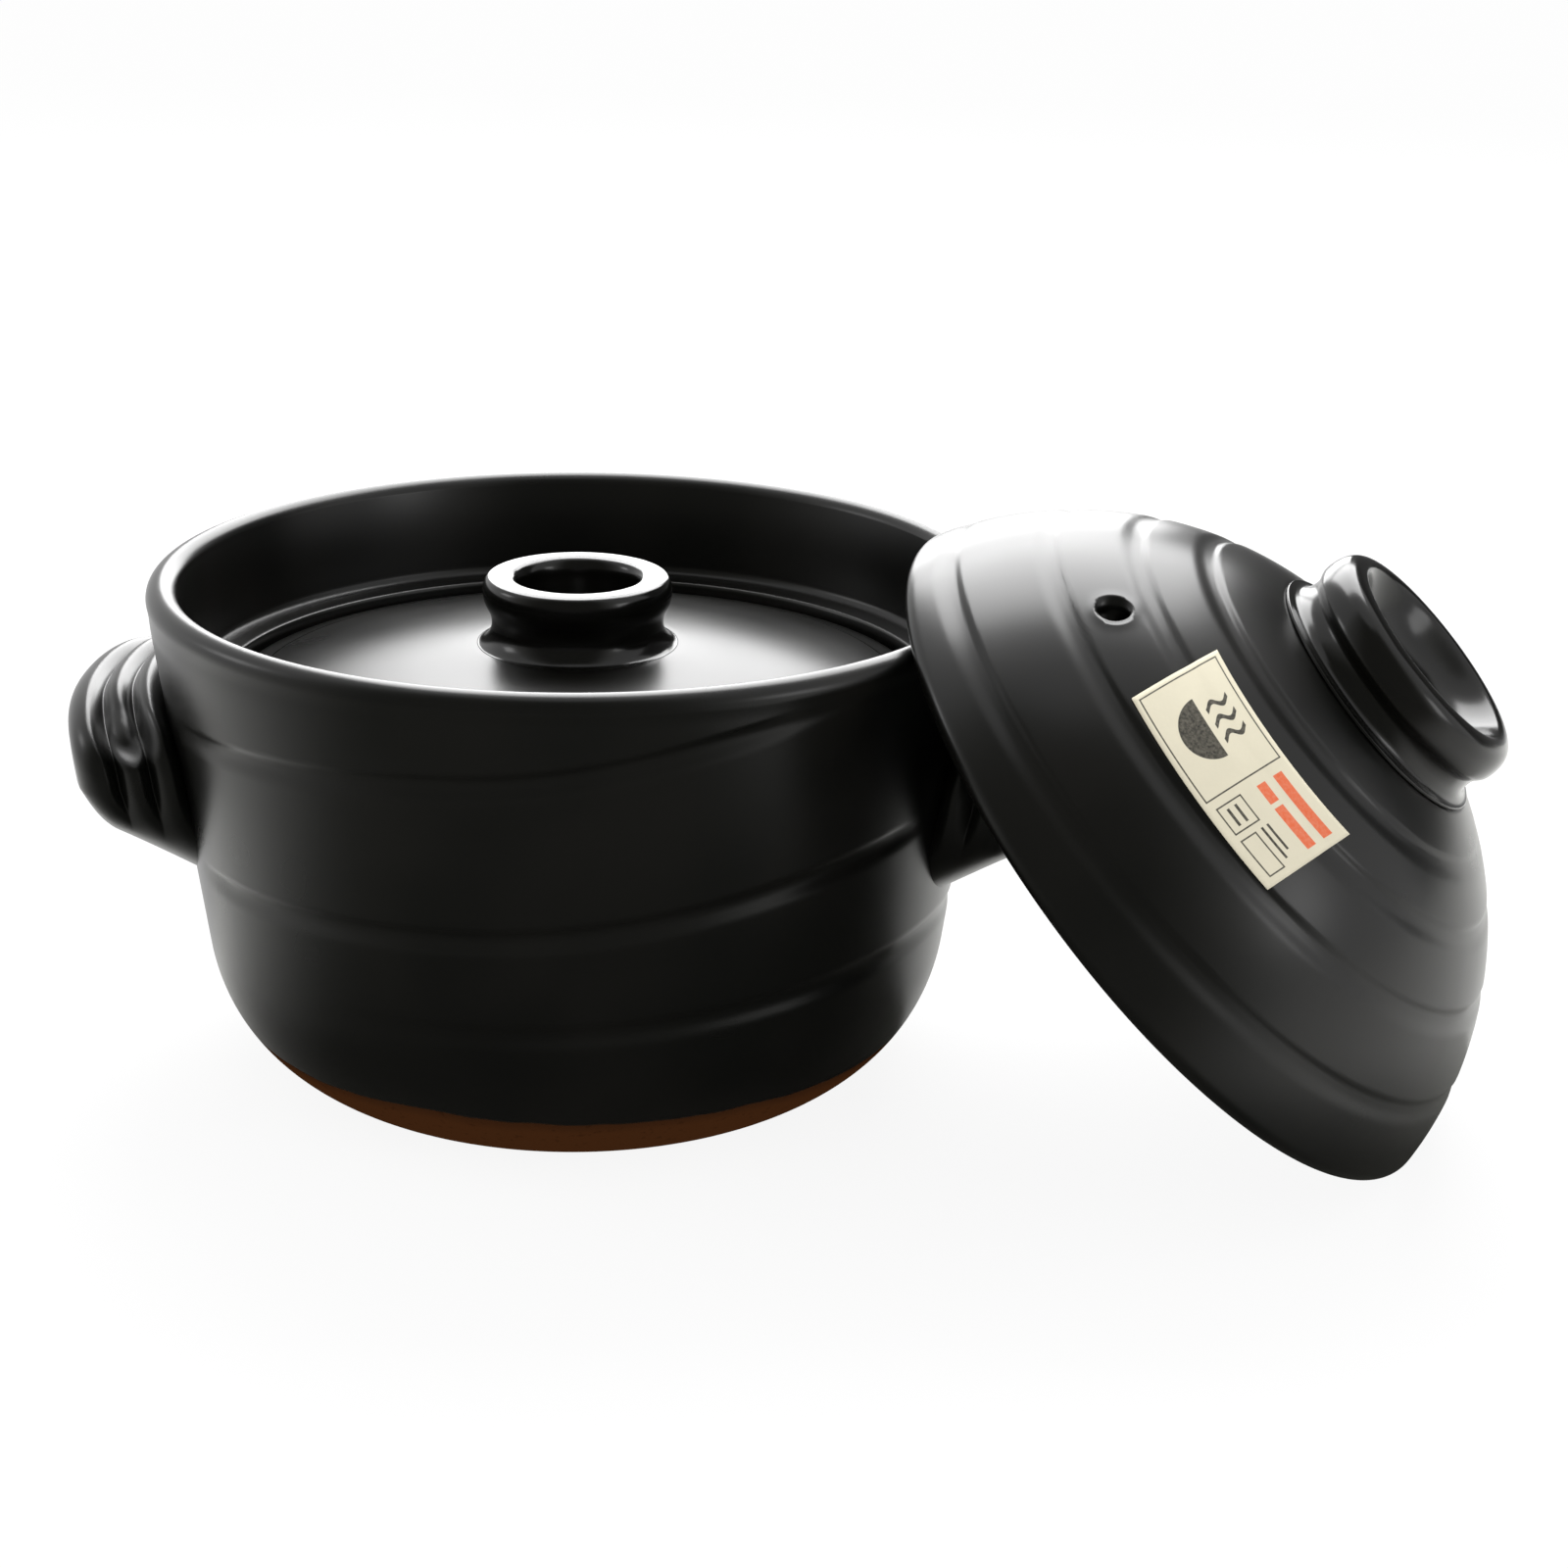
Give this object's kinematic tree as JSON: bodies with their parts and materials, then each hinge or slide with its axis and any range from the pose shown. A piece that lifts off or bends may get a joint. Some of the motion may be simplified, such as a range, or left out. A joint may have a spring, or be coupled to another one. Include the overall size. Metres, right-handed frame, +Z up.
{
  "type": "double lid rice pot",
  "caption": "Round black stoneware rice pot with ear handles, a flat inner lid with a ring knob and a domed outer lid with a steam hole leaning against its side.",
  "frame": {"origin": "centre of the pot's flat foot, on the table", "axes": "+Z up along the pot's axis; X through the two ear handles, with the outer lid leaning on the +X side; -Y faces the viewer"},
  "size_m": [0.3426, 0.2246, 0.1454],
  "materials": {
    "pot_body": "satin black glaze on stoneware, bare brown clay at the foot",
    "handle_left": "satin black glaze on stoneware",
    "handle_right": "satin black glaze on stoneware",
    "inner_lid": "satin black glaze on stoneware",
    "inner_lid_knob": "satin black glaze on stoneware",
    "outer_lid": "satin black glaze on stoneware",
    "outer_lid_knob": "satin black glaze on stoneware",
    "paper_label": "matt cream paper"
  },
  "bodies": {
    "pot": {"pot_body": "pot_body", "handle_left": "handle_left", "handle_right": "handle_right"},
    "inner_lid": {"inner_lid": "inner_lid", "inner_lid_knob": "inner_lid_knob"},
    "outer_lid": {"outer_lid": "outer_lid", "outer_lid_knob": "outer_lid_knob", "paper_label": "paper_label"}
  },
  "joints": [
    {"name": "inner_lid_lift", "type": "slide", "parent": "pot", "child": "inner_lid", "axis": [-0.1023, 0.0215, 0.9945], "range_m": [0, 0.15]},
    {"name": "outer_lid_lift", "type": "slide", "parent": "pot", "child": "outer_lid", "axis": [0.7181, -0.1507, 0.6794], "range_m": [0, 0.2]}
  ]
}
